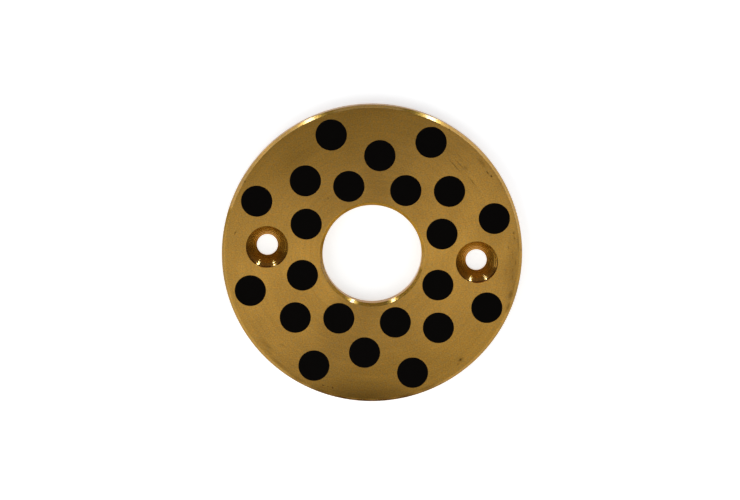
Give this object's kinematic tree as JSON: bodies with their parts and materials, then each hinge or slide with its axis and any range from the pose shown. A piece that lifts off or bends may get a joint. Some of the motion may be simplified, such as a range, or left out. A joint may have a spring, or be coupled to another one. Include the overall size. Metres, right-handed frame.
{
  "type": "oilless thrust washer",
  "caption": "Flat bronze ring with staggered solid lubricant plugs flush in its faces and sunk countersunk screw holes; carries axial load round a shaft without oil.",
  "frame": {"origin": "axis of the bore at the back face, which lies on the seat", "axes": "+Z along the bore towards the sliding face, +X through the centres of the two screw holes"},
  "size_m": [0.05, 0.05, 0.003],
  "materials": {
    "cast_bronze": "turned, with fine concentric tool marks",
    "graphite": "faced off flush, matt black"
  },
  "bodies": {
    "root": {"washer": "cast_bronze", "inner_plug_1": "graphite", "inner_plug_2": "graphite", "inner_plug_3": "graphite", "inner_plug_4": "graphite", "inner_plug_5": "graphite", "inner_plug_6": "graphite", "inner_plug_7": "graphite", "inner_plug_8": "graphite", "middle_plug_1": "graphite", "middle_plug_2": "graphite", "middle_plug_3": "graphite", "middle_plug_4": "graphite", "middle_plug_5": "graphite", "middle_plug_6": "graphite", "outer_plug_1": "graphite", "outer_plug_2": "graphite", "outer_plug_3": "graphite", "outer_plug_4": "graphite", "outer_plug_5": "graphite", "outer_plug_6": "graphite", "outer_plug_7": "graphite", "outer_plug_8": "graphite"}
  },
  "joints": []
}
